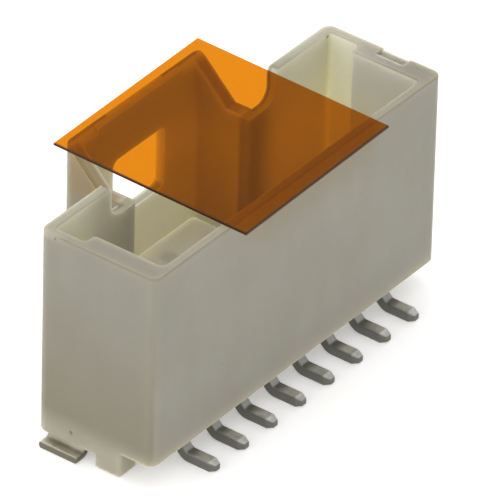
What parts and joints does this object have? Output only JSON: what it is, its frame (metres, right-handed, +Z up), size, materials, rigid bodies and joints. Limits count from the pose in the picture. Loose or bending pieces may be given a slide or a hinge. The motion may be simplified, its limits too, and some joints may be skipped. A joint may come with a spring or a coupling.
{
  "type": "shrouded pin header",
  "caption": "Surface mount shrouded pin header in natural nylon with a rear latch tower, bent tinned leads and an amber pick and place film",
  "frame": {"origin": "on the surface of the board, below the centre of the contact row", "axes": "X along the row of contacts, the leads leave towards -Y and the latch tower stands on the +Y side, Z up from the board towards the plug"},
  "size_m": [0.0206, 0.0106, 0.0112],
  "materials": {
    "natural_nylon": "natural moulded nylon, slightly translucent, fine matt",
    "tinned_contact": "matt tin plate over drawn wire",
    "tinned_tab": "matt tin plate over stamped strip",
    "amber_film": "clear amber polyimide film, smooth"
  },
  "bodies": {
    "root": {"housing": "natural_nylon", "contact_1": "tinned_contact", "contact_2": "tinned_contact", "contact_3": "tinned_contact", "contact_4": "tinned_contact", "contact_5": "tinned_contact", "contact_6": "tinned_contact", "contact_7": "tinned_contact", "contact_8": "tinned_contact", "solder_tab_left": "tinned_tab", "solder_tab_right": "tinned_tab", "pick_and_place_film": "amber_film"}
  },
  "joints": []
}
